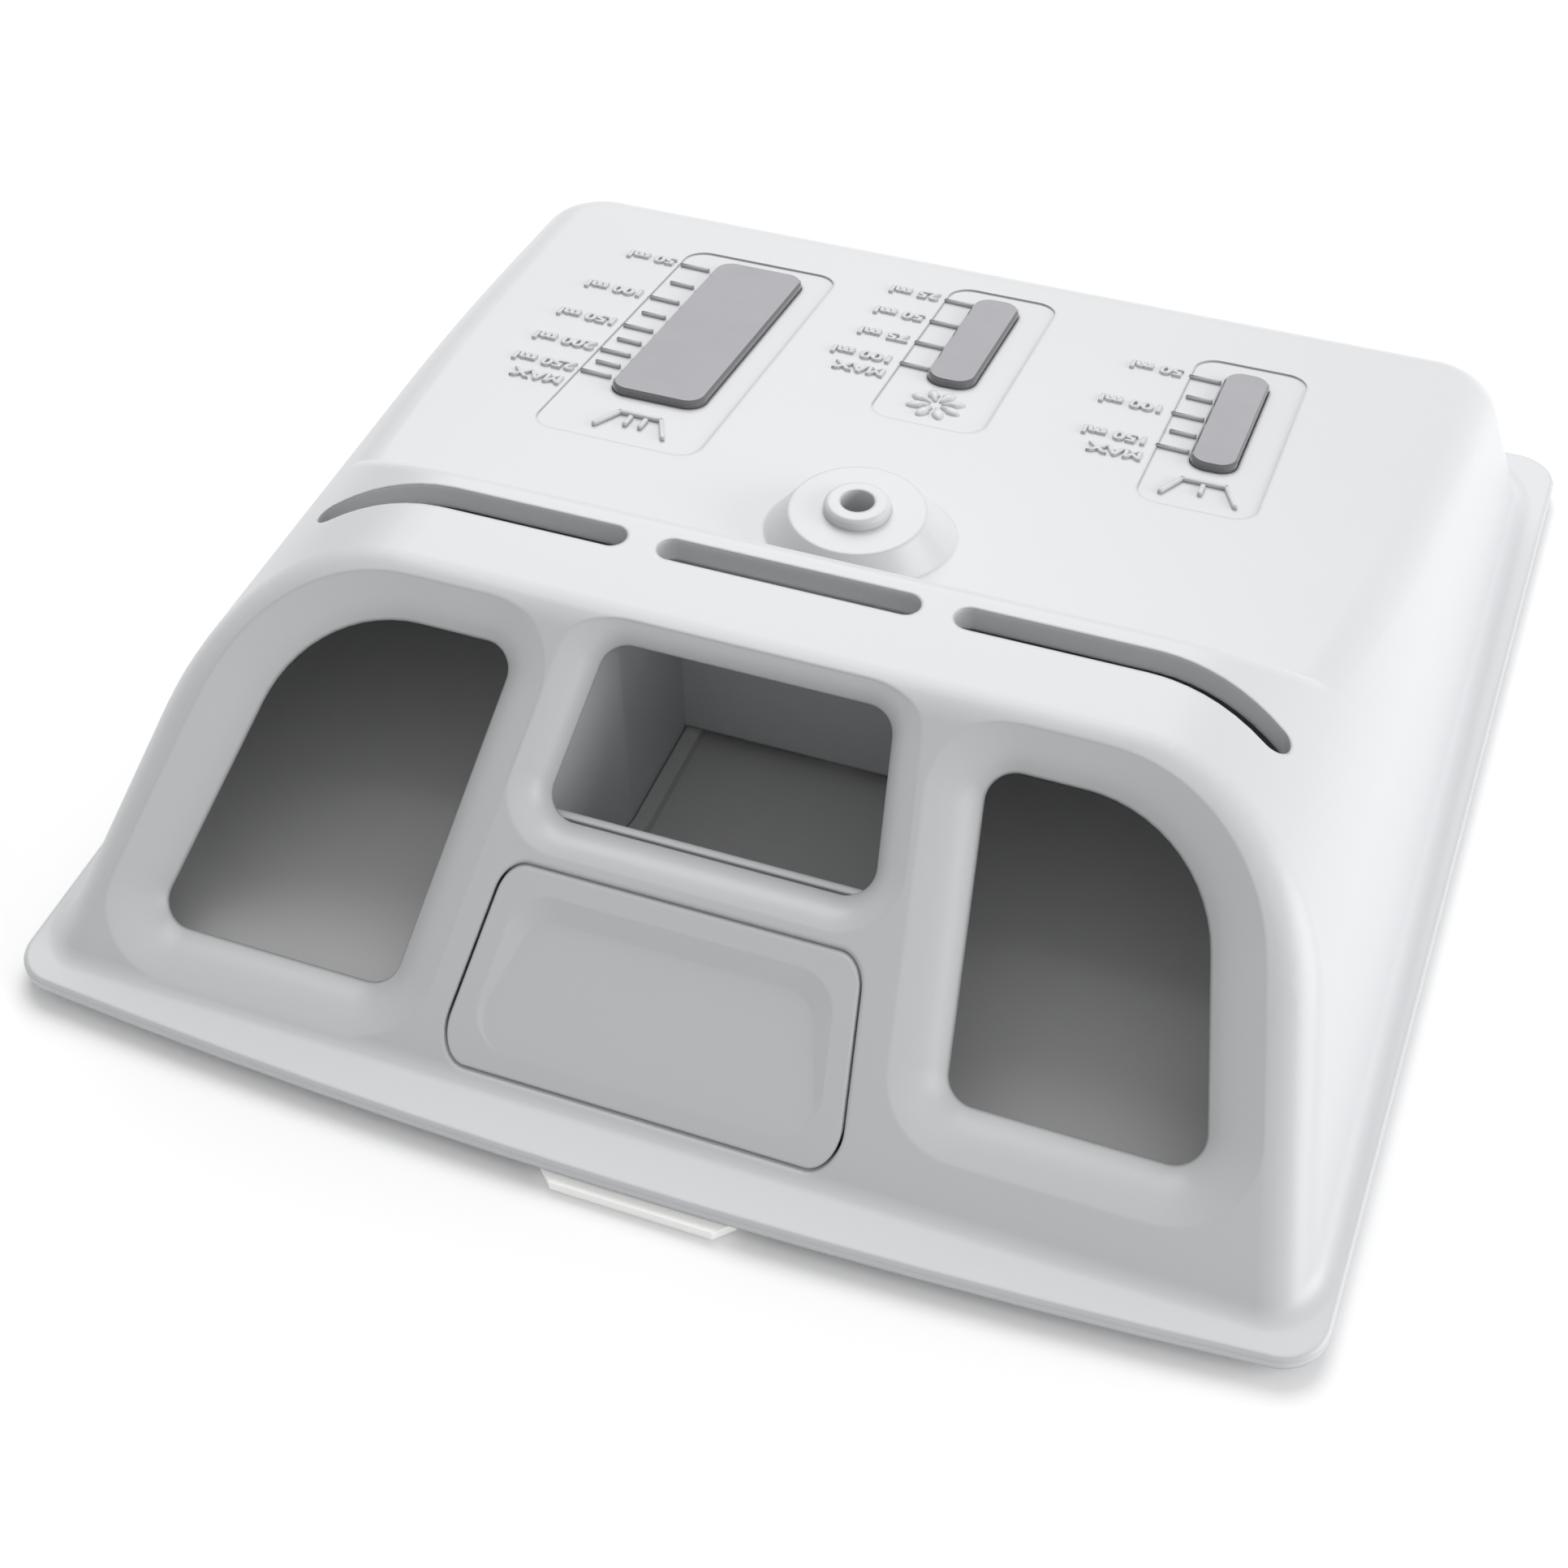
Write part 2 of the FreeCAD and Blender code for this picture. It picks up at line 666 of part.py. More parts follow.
def rear_panel():
    """Plate that closes the back, with its resting rim, weld ribs, inlets and button guides."""
    margin = size.panel_margin
    radii = [size.panel_corner, size.panel_corner, size.rear_corner + margin, size.rear_corner + margin]
    plate = prism(foot_outline(-margin, -margin, -margin, radii, 0), V(0, 0, SEAT))
    inner = size.panel_rim - margin
    hollow_radii = [radius - size.panel_rim for radius in radii]
    hollow = prism(foot_outline(inner, inner, inner, hollow_radii, -OVERCUT),
                   V(0, 0, OVERCUT + SEAT - size.panel_thickness))
    panel = plate.cut(hollow)
    return panel.cut(panel_cuts()).fuse(panel_ribs()).removeSplitter()


def weld_rib():
    """Low rib that runs along the cover's wall on the floor of the side compartments."""
    front = size.wall / math.sin(FRONT_TILT) + size.rib_height / math.tan(FRONT_TILT) + size.clearance
    lean = math.radians(size.side_lean)
    side = size.wall / math.cos(lean) + size.rib_height * math.tan(lean) + size.clearance
    rear_lean = math.radians(size.rear_lean)
    rear = size.wall / math.cos(rear_lean) + size.rib_height * math.tan(rear_lean) + size.clearance
    front_radius = size.hood_front_round
    rear_radius = size.rear_corner - side + size.wall
    wide = prism(foot_outline(front, side, rear, [front_radius, front_radius, rear_radius, rear_radius], SEAT),
                 V(0, 0, size.rib_height))
    gap = size.rib_width
    narrow_radii = [front_radius - gap, front_radius - gap, rear_radius - gap, rear_radius - gap]
    narrow = prism(foot_outline(front + gap, side + gap, rear + gap, narrow_radii, SEAT),
                   V(0, 0, size.rib_height))
    middle = between_dividers(SEAT, SEAT + size.rib_height, 0, size.flange_length)
    beside = [divider(hand, 0, size.divider_wall + size.clearance, SEAT, SEAT + size.rib_height)
              for hand in (-1, 1)]
    return wide.cut(narrow).cut([middle] + beside)


def runner_block(hand, margin, start, end, low, high):
    """Block round one of the button's runners."""
    middle = hand * size.runner_spacing / 2
    half = size.runner_width / 2 + margin
    return block(V(middle - half, FRONT + start, SEAT + low), V(middle + half, FRONT + end, SEAT + high))


def panel_ribs():
    """Weld rib, feet beside the dividers, button guides and the ring that holds the siphon cap."""
    solids = [weld_rib()]
    foot_end = size.rear_foot - size.rear_corner / 2
    floor_strip = block(V(-FAR, FRONT + size.bulkhead + 2 * size.divider_wall, SEAT),
                        V(FAR, FRONT + foot_end, SEAT + size.rib_height))
    for hand in (-1, 1):
        foot = divider(hand, -size.clearance - size.divider_foot, -size.clearance, SEAT, SEAT + size.rib_height)
        solids.append(foot.common(floor_strip))
        outside = runner_block(hand, size.clearance + size.guide_wall, size.guide_front, size.guide_rear,
                               0, size.guide_height)
        channel = runner_block(hand, size.clearance, size.guide_front, size.guide_rear, 0, size.guide_height)
        solids.append(outside.cut(channel))
    inner = cap_radius() + size.window_fit
    ring = Part.makeCylinder(inner + size.rib_width, size.rib_height, siphon_point(0))
    solids.append(ring.cut(Part.makeCylinder(inner, size.rib_height, siphon_point(0))))
    return solids


def panel_cuts():
    """Water inlets of the three compartments and the notch for the latch tongue."""
    solids = []
    end = FRONT + size.rear_foot - size.inlet_from_rear
    for name in ("main_inlet", "softener_inlet", "prewash_inlet"):
        middle = getattr(size, name + "_x")
        half = getattr(size, name + "_width") / 2
        corners = [V(middle - half, end - size.inlet_length, 0), V(middle + half, end - size.inlet_length, 0),
                   V(middle + half, end, 0), V(middle - half, end, 0)]
        solids.append(prism(rounded_outline(corners, [size.inlet_corner] * 4, -OVERCUT),
                            V(0, 0, SEAT + 2 * OVERCUT)))
    solids.append(block(V(-size.tongue_left - size.button_gap, FRONT - size.front_foot, -OVERCUT),
                        V(size.tongue_right + size.button_gap,
                          FRONT + size.tongue_rear + size.button_travel + size.button_gap, SEAT + OVERCUT)))
    return solids


# Siphon cap

CAP_RADIUS_CELL = "(Sizes.siphon_bore / 2 + Sizes.standpipe_wall + Sizes.cap_gap + Sizes.cap_wall)"
CAP_HEIGHT_CELL = "(Sizes.siphon_pad_height - Sizes.siphon_pad_rise - Sizes.wall - Sizes.cap_mouth_gap)"


def cap_radius():
    return size.siphon_bore / 2 + size.standpipe_wall + size.cap_gap + size.cap_wall


def bound(kind, label, place, cells):
    """Primitive whose place and sizes follow the sheet."""
    piece = doc.addObject(kind, label)
    for axis, cell in zip("xyz", place):
        piece.setExpression("Placement.Base." + axis, cell)
    for name, cell in cells.items():
        piece.setExpression(name, cell)
    return piece


def siphon_cap():
    """Cup that stands over the standpipe, closed at the panel."""
    across = "Sizes.siphon_x"
    along = FRONT_CELL + " + Sizes.siphon_y"
    cup = bound("Part::Cylinder", "siphon_cup", (across, along, SEAT_CELL),
                {"Radius": CAP_RADIUS_CELL, "Height": CAP_HEIGHT_CELL})
    hollow = bound("Part::Cylinder", "siphon_cup_hollow", (across, along, SEAT_CELL + " + Sizes.cap_wall"),
                   {"Radius": CAP_RADIUS_CELL + " - Sizes.cap_wall", "Height": CAP_HEIGHT_CELL})
    cap = doc.addObject("Part::Cut", "siphon_cap")
    cap.Base = cup
    cap.Tool = hollow
    return cap


# Release button, latch tongue and return springs

def release_button():
    """Finger panel flush with the front slope, with runners, spring seats and the tongue's rib."""
    column = button_block(0, -size.front_foot, size.bulkhead)
    rear_of_plate = front_plane(size.button_thickness)
    plate = trimmed(column, [front_plane(0)]).common(beyond(*rear_of_plate))
    plate = plate.makeChamfer(size.button_edge, edges_on(plate, front_plane(0), SEAT))
    plate = plate.cut(finger_recess())
    backing = front_plane(size.button_thickness / 2)
    solids = []
    for hand in (-1, 1):
        runner = runner_block(hand, 0, size.runner_front, size.guide_rear + size.clearance + size.barb_length,
                              size.clearance, size.runner_height)
        barb = runner_block(hand, size.guide_wall, size.guide_rear + size.clearance,
                            size.guide_rear + size.clearance + size.barb_length, size.clearance, size.guide_height)
        solids += [trimmed(runner, [backing]), barb]
    for point in spring_points(0):
        seat = Part.makeCylinder(size.spring_radius + size.spring_wire, size.spring_seat, point, V(0, 1, 0))
        peg = Part.makeCylinder(size.spring_peg, size.spring_seat + size.spring_peg_length, point, V(0, 1, 0))
        solids += [trimmed(seat, [backing]), trimmed(peg, [backing])]
    web = block(V(-size.tongue_left / 2, FRONT, SEAT + size.tongue_upstand_height / 2),
                V(size.tongue_right / 2, FRONT + size.tongue_rear - size.tongue_upstand,
                  SEAT + size.tongue_upstand_height))
    solids.append(trimmed(web, [backing]))
    return fused(plate, solids)


def finger_recess():
    """Dish with sloping walls: deepest along its top edge, fading out at the bottom."""
    rise = math.sin(FRONT_TILT)
    low = size.button_bottom / rise
    high = size.button_top / rise
    half_bottom = size.button_width_bottom / 2
    half_top = size.button_width_top / 2
    corners = [V(-half_bottom, low, 0), V(half_bottom, low, 0), V(half_top, high, 0), V(-half_top, high, 0)]
    flare = OVERCUT * size.finger_bevel / size.finger_depth
    radius = size.button_corner
    outer = rounded_outline(offset_corners(corners, flare - size.finger_margin), [radius + flare] * 4, OVERCUT)
    inner = rounded_outline(offset_corners(corners, -size.finger_margin - size.finger_bevel), [radius] * 4,
                            -size.finger_depth)
    dish = Part.makeLoft([outer, inner], True, True)
    dish.Placement = ON_FRONT
    tilt = math.atan2(size.finger_depth, high - low - 2 * size.finger_margin)
    fade = FRONT_OUT * math.cos(tilt) + FRONT_UP * math.sin(tilt)
    return dish.common(beyond(FRONT_FOOT + FRONT_UP * (low + size.finger_margin), fade))


TONGUE_FRONT_CELL = FRONT_CELL + " - Sizes.tongue_reach"
TONGUE_LOW_CELL = "(Sizes.panel_drop + Sizes.panel_thickness) / 2 - Sizes.tongue_thickness"


def latch_tongue():
    """Springy catch plate under the lip, with an upstand that the button pushes back."""
    tip = bound("Part::Wedge", "tongue_tip", ("0", TONGUE_FRONT_CELL, TONGUE_LOW_CELL), {
        "Xmin": "Sizes.tongue_chamfer - Sizes.tongue_left",
        "Xmax": "Sizes.tongue_right - Sizes.tongue_chamfer",
        "X2min": "-Sizes.tongue_left",
        "X2max": "Sizes.tongue_right",
        "Ymin": "0",
        "Ymax": "Sizes.tongue_chamfer",
        "Zmin": "0",
        "Zmax": "Sizes.tongue_thickness",
        "Z2min": "0",
        "Z2max": "Sizes.tongue_thickness",
    })
    plate = bound("Part::Box", "tongue_plate",
                  ("-Sizes.tongue_left", TONGUE_FRONT_CELL + " + Sizes.tongue_chamfer", TONGUE_LOW_CELL), {
                      "Length": "Sizes.tongue_left + Sizes.tongue_right",
                      "Width": "Sizes.tongue_reach + Sizes.tongue_rear - Sizes.tongue_chamfer",
                      "Height": "Sizes.tongue_thickness",
                  })
    upstand = bound("Part::Box", "tongue_upstand",
                    ("-Sizes.tongue_left / 2", FRONT_CELL + " + Sizes.tongue_rear - Sizes.tongue_upstand",
                     TONGUE_LOW_CELL), {
                        "Length": "(Sizes.tongue_left + Sizes.tongue_right) / 2",
                        "Width": "Sizes.tongue_upstand",
                        "Height": "Sizes.panel_drop + Sizes.tongue_upstand_height - (" + TONGUE_LOW_CELL + ")",
                    })
    tongue = doc.addObject("Part::MultiFuse", "latch_tongue")
    tongue.Shapes = [tip, plate, upstand]
    tongue.Refine = True
    return tongue


def return_springs():
    """Two coil springs of square wire between the button's seats and the wall behind it."""
    length = size.bulkhead - size.spring_seat - size.spring_wire
    half = size.spring_wire / 2
    corners = [V(size.spring_radius + across * half, 0, along * half)
               for across, along in ((-1, -1), (1, -1), (1, 1), (-1, 1))]
    coils = []
    for point in spring_points(size.spring_seat + size.spring_wire / 2):
        helix = Part.makeHelix(length / size.spring_turns, length, size.spring_radius)
        section = Part.makePolygon(corners + corners[:1])
        coil = Part.Wire(helix.Edges).makePipeShell([section], True, True)
        coil.Placement = FreeCAD.Placement(point, FreeCAD.Rotation(UP, V(0, 1, 0)))
        coils.append(coil)
    return Part.makeCompound(coils)


def add_part(label, shape):
    """Document object of a moulded or wound sub-part, whose form is more than primitives give."""
    piece = doc.addObject("Part::Feature", label)
    piece.Shape = shape
    return piece


pieces = [
    add_part("front_cover", front_cover()),
    add_part("rear_panel", rear_panel()),
    add_part("main_wash_window", window("main_window")),
    add_part("softener_window", window("softener_window")),
    add_part("prewash_window", window("prewash_window")),
    siphon_cap(),
    add_part("release_button", release_button()),
    latch_tongue(),
    add_part("return_springs", return_springs()),
]
doc.recompute()

for item in doc.Objects:
    if "Invalid" in item.State or "Error" in item.State:
        raise RuntimeError(item.Label + " failed")
for piece in pieces:
    if piece.Shape.isNull() or not piece.Shape.isValid():
        raise RuntimeError(piece.Label + " has no valid shape")

os.makedirs("parts", exist_ok=True)
for piece in pieces:
    piece.Shape.exportStep(os.path.join("parts", piece.Label + ".step"))
    print(piece.Label, len(piece.Shape.Solids), round(piece.Shape.Volume), piece.Shape.BoundBox)
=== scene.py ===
"""Looks of a lid-mounted detergent dispenser: finishes, raised dose marks and a plain studio."""
import math

import bpy
from bpy.props import FloatProperty, FloatVectorProperty, PointerProperty
from mathutils import Matrix, Vector


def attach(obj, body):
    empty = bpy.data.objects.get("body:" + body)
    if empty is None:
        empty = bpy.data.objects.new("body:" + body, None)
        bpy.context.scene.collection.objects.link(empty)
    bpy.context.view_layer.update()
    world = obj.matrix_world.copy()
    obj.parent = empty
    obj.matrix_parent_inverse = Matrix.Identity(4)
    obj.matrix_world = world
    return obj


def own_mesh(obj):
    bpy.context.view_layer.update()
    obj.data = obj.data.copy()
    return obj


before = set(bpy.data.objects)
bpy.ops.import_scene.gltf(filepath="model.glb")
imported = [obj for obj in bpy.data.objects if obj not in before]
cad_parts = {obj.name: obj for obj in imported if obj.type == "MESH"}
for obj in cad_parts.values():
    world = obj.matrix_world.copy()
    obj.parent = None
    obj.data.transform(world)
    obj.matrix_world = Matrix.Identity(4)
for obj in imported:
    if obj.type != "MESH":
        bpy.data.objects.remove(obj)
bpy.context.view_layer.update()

bl_info = {
    "name": "Detergent Dispenser Looks",
    "version": (1, 0, 0),
    "blender": (4, 5, 0),
    "location": "View3D > Sidebar > Dispenser",
    "description": "Finishes and raised marks of a washer's lid dispenser",
    "category": "Object",
}

MILLIMETRE = 0.001
BODY = "dispenser"
WINDOWS = ("main_wash_window", "softener_window", "prewash_window")
# Painted shade on the window sides: faces turned further from the window face than this limit take the smoked
# tint darkened by the factor below
PAINTED_SHADE_FACE_LIMIT = 0.9
PAINTED_EDGE_SHADE = 0.35
EDGE_SAMPLES = 6
GRAIN_DEPTH = 0.04 * MILLIMETRE


# Sizes and colours that a user would change

class DispenserColours(bpy.types.PropertyGroup):
    """Colours of the mouldings."""

    cover: FloatVectorProperty(
        name="Cover", description="White of the front cover", subtype="COLOR", size=3,
        min=0.0, max=1.0, default=(0.545, 0.556, 0.570))
    panel: FloatVectorProperty(
        name="Rear panel", description="White of the rear panel", subtype="COLOR", size=3,
        min=0.0, max=1.0, default=(0.55, 0.552, 0.553))
    smoked: FloatVectorProperty(
        name="Windows", description="Tint of the smoked windows", subtype="COLOR", size=3,
        min=0.0, max=1.0, default=(0.47, 0.462, 0.495))
    natural: FloatVectorProperty(
        name="Tongue", description="Milky colour of the latch tongue", subtype="COLOR", size=3,
        min=0.0, max=1.0, default=(0.90, 0.90, 0.89))
    wire: FloatVectorProperty(
        name="Springs", description="Grey of the spring wire", subtype="COLOR", size=3,
        min=0.0, max=1.0, default=(0.55, 0.55, 0.56))


class DispenserMarks(bpy.types.PropertyGroup):
    """Place of the sloping window face and sizes of the raised marks on it."""

    slope: FloatProperty(
        name="Slope", description="Fall of the window face towards the rear", subtype="ANGLE",
        default=math.radians(8.3))
    crease_y: FloatProperty(
        name="Crease", description="Where the window face starts, along Y", unit="LENGTH", default=-0.02255)
    crease_z: FloatProperty(
        name="Crease height", description="Height of the window face at its start", unit="LENGTH",
        default=0.0687)
    recess: FloatProperty(
        name="Recess", description="Depth of the field round a window", unit="LENGTH", default=0.0005)
    rise: FloatProperty(
        name="Rise", description="How far marks stand up", unit="LENGTH", default=0.0006)
    stroke: FloatProperty(
        name="Stroke", description="Width of a raised line", unit="LENGTH", default=0.0012)
    text_size: FloatProperty(
        name="Text size", description="Size of the dose figures", unit="LENGTH", default=0.0053)
    text_stretch: FloatProperty(
        name="Text stretch", description="Width of the figures against their height", default=1.18)


class DispenserStage(bpy.types.PropertyGroup):
    """Camera and light of the studio."""

    lens: FloatProperty(
        name="Lens", description="Focal length on a 36 mm sensor", unit="CAMERA", default=52.48)
    key_power: FloatProperty(
        name="Key light", description="Power of the large light behind and above", unit="POWER", default=22.0)
    side_power: FloatProperty(
        name="Side light", description="Power of the light on the right", unit="POWER", default=17.0)
    sky: FloatProperty(
        name="Sky", description="Strength of the even light all round", default=0.62)


# Shader maths

class Wire:
    """Value on a node's output socket, with arithmetic that adds Math nodes."""

    def __init__(self, finish, socket):
        self.finish = finish
        self.socket = socket

    def maths(self, operation, first, second):
        return self.finish.node("ShaderNodeMath", {"operation": operation}, {0: first, 1: second})

    def __add__(self, other):
        return self.maths("ADD", self, other)

    def __radd__(self, other):
        return self.maths("ADD", other, self)

    def __sub__(self, other):
        return self.maths("SUBTRACT", self, other)

    def __rsub__(self, other):
        return self.maths("SUBTRACT", other, self)

    def __mul__(self, other):
        return self.maths("MULTIPLY", self, other)

    def __rmul__(self, other):
        return self.maths("MULTIPLY", other, self)


class Finish:
    """One material and the nodes in it."""

    def __init__(self, name):
        self.material = bpy.data.materials.new(name)
        self.material.use_nodes = True
        self.tree = self.material.node_tree
        self.shader = self.tree.nodes["Principled BSDF"]

    def feed(self, socket, value):
        """Link a wire to a socket, or set the socket's own value."""
        if isinstance(value, Wire):
            self.tree.links.new(value.socket, socket)
        else:
            socket.default_value = value

    def node(self, kind, settings, sockets, output=0):
        """Add a node: its settings first, then the values or links of its sockets."""
        made = self.tree.nodes.new(kind)
        for key, value in settings.items():
            setattr(made, key, value)
        for key, value in sockets.items():
            self.feed(made.inputs[key], value)
        return Wire(self, made.outputs[output])

    def place(self):
        """Object coordinates."""
        return self.node("ShaderNodeTexCoord", {}, {}, "Object")

    def noise(self, scale, detail=2.0):
        """Even noise over the object, from 0 to 1."""
        return self.node("ShaderNodeTexNoise", {}, {"Vector": self.place(), "Scale": scale, "Detail": detail})

    def blend(self, factor, first, second):
        """Colour between two colours."""
        return self.node("ShaderNodeMix", {"data_type": "RGBA"},
                         {"Factor": factor, 6: first, 7: second}, 2)

    def soft_edges(self, radius):
        """Normal that runs smoothly over edges and creases, as on a moulding."""
        return self.node("ShaderNodeBevel", {"samples": EDGE_SAMPLES}, {"Radius": radius}, "Normal")

    def bump(self, height, strength, distance, normal):
        """Normal roughened by a height."""
        sockets = {"Strength": strength, "Distance": distance, "Height": height, "Normal": normal}
        return self.node("ShaderNodeBump", {}, sockets, "Normal")

    def set(self, **sockets):
        """Feed the shader's sockets, named with underscores for spaces."""
        for key, value in sockets.items():
            self.feed(self.shader.inputs[key.replace("_", " ")], value)
        return self.material


def shade(colour, factor):
    """A colour made lighter or darker, with full alpha."""
    return tuple(channel * factor for channel in colour) + (1.0,)


def moulded_plastic(name, colour, roughness, grain, edge):
    """White moulding: faint flow marks in colour and gloss over a fine spark-eroded grain."""
    finish = Finish(name)
    flow = finish.noise(18.0)
    fine = finish.noise(2600.0, 1.0)
    return finish.set(
        Base_Color=finish.blend(flow, shade(colour, 0.985), shade(colour, 1.012)),
        Roughness=roughness + 0.06 * (flow - 0.5) + 0.04 * (fine - 0.5),
        Normal=finish.bump(fine, grain, GRAIN_DEPTH, finish.soft_edges(edge)),
        IOR=1.49,
    )


def smoked_plastic(name, colour):
    """Smoked window: clear tinted plastic with a little haze."""
    finish = Finish(name)
    haze = finish.noise(90.0)
    return finish.set(
        Base_Color=finish.blend(haze, shade(colour, 0.94), shade(colour, 1.05)),
        Roughness=0.04 + 0.04 * haze,
        IOR=1.49,
        Transmission_Weight=0.3,
        Coat_Weight=0.6,
        Coat_Roughness=0.03,
    )


def milky_plastic_painted_glow(name, colour):
    """Natural moulding that lets some light in, with a faint painted glow standing in for light coming
    through it.
    """
    finish = Finish(name)
    cloud = finish.noise(60.0)
    return finish.set(
        Base_Color=finish.blend(cloud, shade(colour, 0.97), shade(colour, 1.02)),
        Roughness=0.28 + 0.08 * cloud,
        IOR=1.5,
        Transmission_Weight=0.2,
        # Painted glow: a faint emission lifts the tongue out of the shade under the flange
        Emission_Color=(1.0, 1.0, 0.98, 1.0),
        Emission_Strength=0.1,
    )


def drawn_wire(name, colour):
    """Steel wire with fine drawing marks."""
    finish = Finish(name)
    marks = finish.noise(1500.0)
    return finish.set(
        Base_Color=finish.blend(marks, shade(colour, 0.9), shade(colour, 1.1)),
        Roughness=0.28 + 0.14 * marks,
        Metallic=1.0,
    )


# Modelling helpers

def deselect():
    bpy.ops.object.select_all(action="DESELECT")


def pick(piece):
    """Select one object and make it active."""
    deselect()
    piece.select_set(True)
    bpy.context.view_layer.objects.active = piece


def pick_points(piece, wanted):
    """Enter edit mode with the vertices selected that pass a test on their place."""
    pick(piece)
    bpy.ops.object.mode_set(mode="EDIT")
    bpy.ops.mesh.select_mode(type="VERT")
    bpy.ops.mesh.select_all(action="DESELECT")
    bpy.ops.object.mode_set(mode="OBJECT")
    for vertex in piece.data.vertices:
        vertex.select = wanted(vertex.co)
    bpy.ops.object.mode_set(mode="EDIT")


def apply_place(piece):
    pick(piece)
    bpy.ops.object.transform_apply(location=True, rotation=True, scale=True)


def copy_at(piece, place):
    """Copy of a mesh, placed by a matrix."""
    twin = piece.copy()
    twin.data = piece.data.copy()
    bpy.context.collection.objects.link(twin)
    twin.matrix_world = place
    apply_place(twin)
    return twin


def join(pieces, name):
    """One object from several."""
    deselect()
    for piece in pieces:
        piece.select_set(True)
    bpy.context.view_layer.objects.active = pieces[0]
    bpy.ops.object.join()
    piece = bpy.context.object
    piece.name = name
    piece.data.name = name
    return piece


def remove(piece):
    pick(piece)
    bpy.ops.object.delete()


def on_windows(x, along, height=0.0, turn=0.0):
    """Place on the window face: across, along the fall, above the face, turned about its normal."""
    marks = bpy.context.scene.dispenser_marks
    face = Matrix.Translation((0.0, marks.crease_y, marks.crease_z)) @ Matrix.Rotation(-marks.slope, 4, "X")
    return face @ Matrix.Translation((x, along, height)) @ Matrix.Rotation(turn, 4, "Z")


def finished(piece, material):
    """Give a raised mark its finish and let it ride on the dispenser."""
    apply_place(piece)
    piece.data.materials.clear()
    piece.data.materials.append(material)
    bpy.ops.object.shade_smooth_by_angle(angle=math.radians(35))
    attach(piece, BODY)


def mark_material():
    """The cover's own white, shared by every raised mark."""
    return bpy.data.materials["white moulding"]


def raised_bar(length, width, height, taper):
    """Soft-edged bar along X from 0 to its length, standing on Z 0, narrower at its start."""
    deselect()
    bpy.ops.mesh.primitive_cube_add(size=1.0, location=(length / 2, 0.0, height / 2))
    bar = bpy.context.object
    bar.scale = (length, width, height)
    apply_place(bar)
    pick_points(bar, lambda spot: spot.x < length / 2)
    bpy.ops.transform.resize(value=(1.0, taper, 1.0))
    bpy.ops.mesh.select_all(action="SELECT")
    bpy.ops.mesh.bevel(offset=min(width, height) * 0.3, segments=3, affect="EDGES")
    bpy.ops.object.mode_set(mode="OBJECT")
    return bar


# Dose scales: window name, first mark along the fall, step, shrink of the steps, doses, left end of
# the marks and the dose at every how many marks

SCALES = {
    "main": {"first": 130.3, "step": 11.6, "shrink": 0.91, "doses": (50, 100, 150, 200, 250),
             "start": -86.4, "every": 2},
    "softener": {"first": 140.3, "step": 13.9, "shrink": 0.965, "doses": (25, 50, 75, 100),
                 "start": -12.2, "every": 1},
    "prewash": {"first": 124.7, "step": 11.3, "shrink": 0.91, "doses": (50, 100, 150),
                "start": 59.6, "every": 2},
}
LONG_TICK = 8.6 * MILLIMETRE
SHORT_TICK = 7.0 * MILLIMETRE
TICK_POINT = 0.35
TEXT_BOLD = 0.1 * MILLIMETRE
TEXT_EDGE = 0.12 * MILLIMETRE
HALF_FIGURE = 0.35
TEXT_GAP = 1.6 * MILLIMETRE
TOP_WORD = "MAX"
TOP_WORD_DROP = 8.1 * MILLIMETRE


def mark_along(scale, index):
    """Distance along the fall of a scale's mark, whose steps shrink as the compartment widens."""
    shrink = scale["shrink"]
    return (scale["first"] - scale["step"] * (1 - shrink ** index) / (1 - shrink)) * MILLIMETRE


class DISPENSER_OT_scale_ticks(bpy.types.Operator):
    """Raise the tapered ticks beside each window"""

    bl_idname = "dispenser.scale_ticks"
    bl_label = "Scale Ticks"

    def execute(self, context):
        marks = context.scene.dispenser_marks
        height = marks.recess + marks.rise
        for name, scale in SCALES.items():
            long_tick = raised_bar(LONG_TICK, marks.stroke, height, TICK_POINT)
            short_tick = raised_bar(SHORT_TICK, marks.stroke, height, TICK_POINT)
            ticks = []
            for index in range(1 + (len(scale["doses"]) - 1) * scale["every"]):
                pattern = short_tick if index % scale["every"] else long_tick
                start = scale["start"] * MILLIMETRE
                if pattern is short_tick:
                    start += LONG_TICK - SHORT_TICK
                ticks.append(copy_at(pattern, on_windows(start, mark_along(scale, index), -marks.recess)))
            remove(long_tick)
            remove(short_tick)
            finished(join(ticks, name + "_scale_ticks"), mark_material())
        return {"FINISHED"}


def raised_text(words, place):
    """Raised lettering with softened edges, placed by a matrix once it is a mesh."""
    marks = bpy.context.scene.dispenser_marks
    deselect()
    bpy.ops.object.text_add()
    text = bpy.context.object
    text.data.body = words
    text.data.size = marks.text_size
    text.data.extrude = marks.rise
    text.data.offset = TEXT_BOLD
    text.data.bevel_depth = TEXT_EDGE
    text.data.bevel_resolution = 1
    text.data.resolution_u = 4
    text.scale = (marks.text_stretch, 1.0, 1.0)
    pick(text)
    bpy.ops.object.convert(target="MESH")
    text = bpy.context.object
    apply_place(text)
    text.matrix_world = place
    apply_place(text)
    return text


